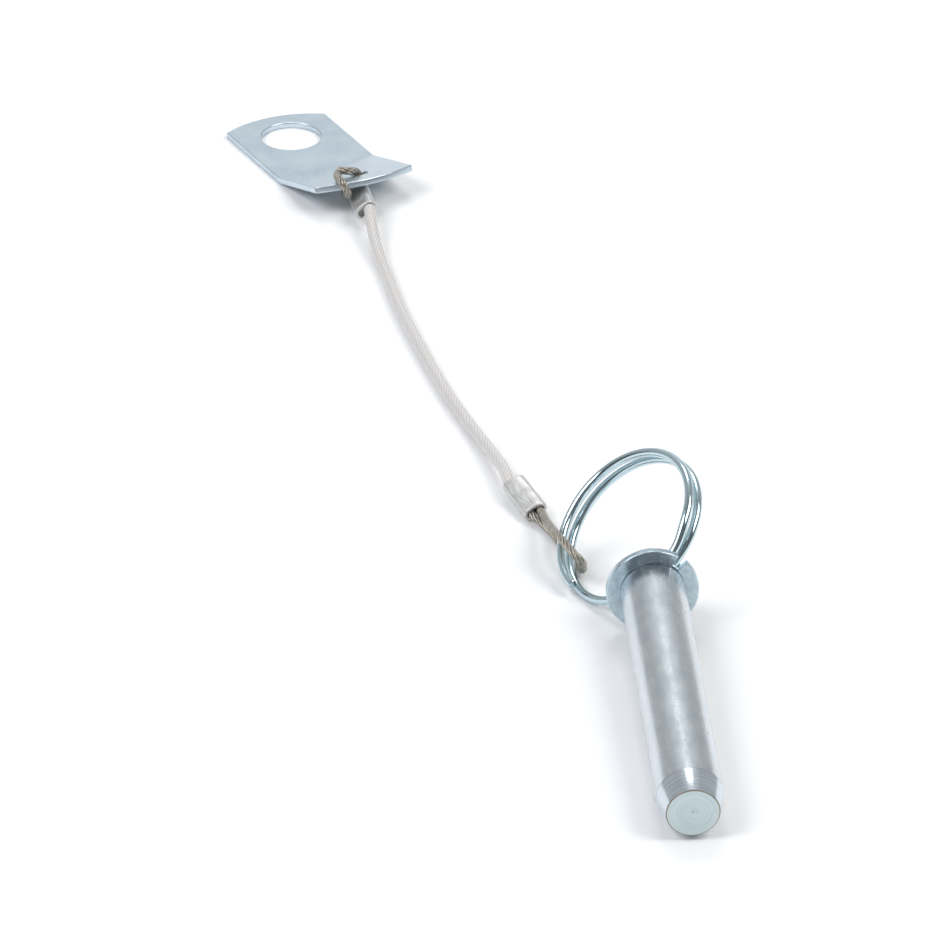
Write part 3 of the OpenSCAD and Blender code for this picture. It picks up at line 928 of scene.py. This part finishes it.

# %% [markdown]
# The jacket is clear vinyl, squeezed on to the rope while hot. Seen through it, the rope is a milky grey
# with slanting lines at the strands' spacing, one for each strand in every lay of the rope. The lines are
# painted shade in the grooves between the strands. The strands lie deeper than the skin that the lines are
# drawn on, and so they slope less than a line once round the skin would. Twice as many lines round as there
# are strands gives the skin the slope of the strands below it.

# %% Vinyl jacket
vinyl, shader = new_material("clear_vinyl_over_rope", Roughness=0.28, Coat_Weight=0.25,
                             Coat_Roughness=0.12)
along = add(vinyl, "ShaderNodeUVMap", uv_map="along").outputs["UV"]
sides = add(vinyl, "ShaderNodeSeparateXYZ", {0: along}).outputs
lines_round, lines_along = 2 * STRANDS / mm(math.pi * JACKET_D), STRANDS / mm(ROPE_LAY)
girth_turns = add(vinyl, "ShaderNodeMath", {0: sides["X"], 1: lines_round}, operation="MULTIPLY").outputs[0]
lay_turns = add(vinyl, "ShaderNodeMath", {0: sides["Y"], 1: lines_along}, operation="MULTIPLY").outputs[0]
phase = add(vinyl, "ShaderNodeMath", {0: girth_turns, 1: lay_turns}, operation="SUBTRACT").outputs[0]
angle = add(vinyl, "ShaderNodeMath", {0: phase, 1: 2 * math.pi}, operation="MULTIPLY").outputs[0]
groove = add(vinyl, "ShaderNodeMath", {0: angle}, operation="COSINE").outputs[0]
depth = add(vinyl, "ShaderNodeMapRange", {0: groove, 1: -1.0, 2: 1.0}).outputs[0]
# The ramp is darker in the grooves: painted shade between the strands, seen through the vinyl.
milk = add(vinyl, "ShaderNodeValToRGB", {"Fac": depth}, [(0.0, tint("#bfbab4")), (0.45, tint("#d9d6d3"))])
relief = add(vinyl, "ShaderNodeBump", {"Height": groove, "Strength": 0.08, "Distance": mm(0.05)})
join(vinyl, shader, Base_Color=milk.outputs["Color"], Normal=relief.outputs["Normal"])
dress(jacket, vinyl)
print("jacket lines repeat every", round(ROPE_LAY / STRANDS, 2), "mm")

# %% [markdown]
# The ferrules are soft aluminium with the marks of the press's jaws: a satin surface with fine lengthwise
# scratches and broad, shallow dents.

# %% Pressed aluminium
aluminium, shader = new_material("pressed_soft_aluminium", Metallic=0.75)
along = add(aluminium, "ShaderNodeUVMap", uv_map="along").outputs["UV"]
drag = add(aluminium, "ShaderNodeMapping", {"Vector": along, "Scale": (1.0, 0.15, 1.0)}).outputs["Vector"]
scratch = add(aluminium, "ShaderNodeTexNoise", {"Vector": drag, "Scale": per(0.35), "Detail": 4.0})
scratch = scratch.outputs["Fac"]
place = add(aluminium, "ShaderNodeTexCoord").outputs["Object"]
dent = add(aluminium, "ShaderNodeTexNoise", {"Vector": place, "Scale": per(3.0), "Detail": 1.0})
shade = add(aluminium, "ShaderNodeValToRGB", {"Fac": scratch},
            [(0.3, tint("#c2c1bf")), (0.65, tint("#dedddb"))])
spread = add(aluminium, "ShaderNodeMapRange", {0: scratch, 1: 0.3, 2: 0.7, 3: 0.36, 4: 0.52})
height = add(aluminium, "ShaderNodeMath", {0: dent.outputs["Fac"], 1: 8.0, 2: scratch},
             operation="MULTIPLY_ADD").outputs[0]
relief = add(aluminium, "ShaderNodeBump", {"Height": height, "Strength": 0.35, "Distance": mm(0.04)})
join(aluminium, shader, Base_Color=shade.outputs["Color"], Roughness=spread.outputs[0],
     Normal=relief.outputs["Normal"])
for owner in (ring_ferrule, tab_ferrule):
    dress(owner, aluminium)
print("ferrules are satin aluminium")

# %% [markdown]
# The set is a catalogue table: a plain white sheet under the object, a large soft light on each side, and a
# small one behind that puts the white streak on the nose. None hangs straight above, where a flat tab would
# throw it back at anyone who looks down. A metal shows what is round it, so the room isn't even: it is pale
# behind, darker at the sides and darkest in front. Those give the bar its bands and the wire its stripes.

# %% Table, lights and sky
SHEET = 6.0


def sheet_of_paper():
    mesh = bmesh.new()
    corners = [(-SHEET, -SHEET), (SHEET, -SHEET), (SHEET, SHEET), (-SHEET, SHEET)]
    mesh.faces.new([mesh.verts.new((x, y, mm(SURFACE - 0.02))) for x, y in corners])
    data = bpy.data.meshes.new("table")
    mesh.to_mesh(data)
    mesh.free()
    return data


table = bpy.data.objects.new("table", sheet_of_paper())
bpy.context.scene.collection.objects.link(table)
paper, shader = new_material("white_paper", Base_Color=tint("#fbfbfb"), Roughness=0.9)
dress(table, paper)


def soft_light(name, where, aim, width, height, watts, colour):
    data = bpy.data.lights.new(name, "AREA")
    data.shape, data.size, data.size_y = "RECTANGLE", width, height
    data.energy, data.color = watts, tint(colour)[:3]
    lamp = bpy.data.objects.new(name, data)
    lamp.location = where
    lamp.rotation_euler = (Vector(aim) - Vector(where)).to_track_quat("-Z", "Y").to_euler()
    bpy.context.scene.collection.objects.link(lamp)


MIDDLE = (-0.04, 0.09, 0.0)
soft_light("back_softbox", (-0.02, 1.3, 1.95), MIDDLE, 0.55, 0.7, 7.0, "#ffffff")
soft_light("right_softbox", (1.6, -0.5, 2.1), MIDDLE, 1.5, 1.5, 37.0, "#ffffff")
soft_light("left_softbox", (-1.7, -0.5, 2.1), MIDDLE, 1.5, 1.5, 40.0, "#f8faff")

world = bpy.data.worlds.new("studio")
bpy.context.scene.world = world
world.use_nodes = True
towards = add(world, "ShaderNodeTexCoord").outputs["Generated"]
room = add(world, "ShaderNodeSeparateXYZ", {0: towards}).outputs
sideways = add(world, "ShaderNodeMath", {0: room["X"]}, operation="ABSOLUTE").outputs[0]
side_dark = add(world, "ShaderNodeMapRange", {0: sideways, 1: 0.15, 2: 0.50, 3: 1.0, 4: 0.62},
                interpolation_type="SMOOTHSTEP").outputs[0]
front_dark = add(world, "ShaderNodeMapRange", {0: room["Y"], 1: -0.1, 2: 0.5, 3: 0.26, 4: 1.0},
                 interpolation_type="SMOOTHSTEP").outputs[0]
high_dark = add(world, "ShaderNodeMapRange", {0: room["Z"], 1: 0.0, 2: 0.9, 3: 0.84, 4: 0.72}).outputs[0]
level = add(world, "ShaderNodeMath", {0: side_dark, 1: front_dark}, operation="MULTIPLY").outputs[0]
level = add(world, "ShaderNodeMath", {0: level, 1: high_dark}, operation="MULTIPLY").outputs[0]
background = world.node_tree.nodes["Background"]
background.inputs["Color"].default_value = (0.97, 1.0, 1.03, 1.0)
world.node_tree.links.new(level, background.inputs["Strength"])
bpy.context.scene.view_settings.view_transform = "Standard"
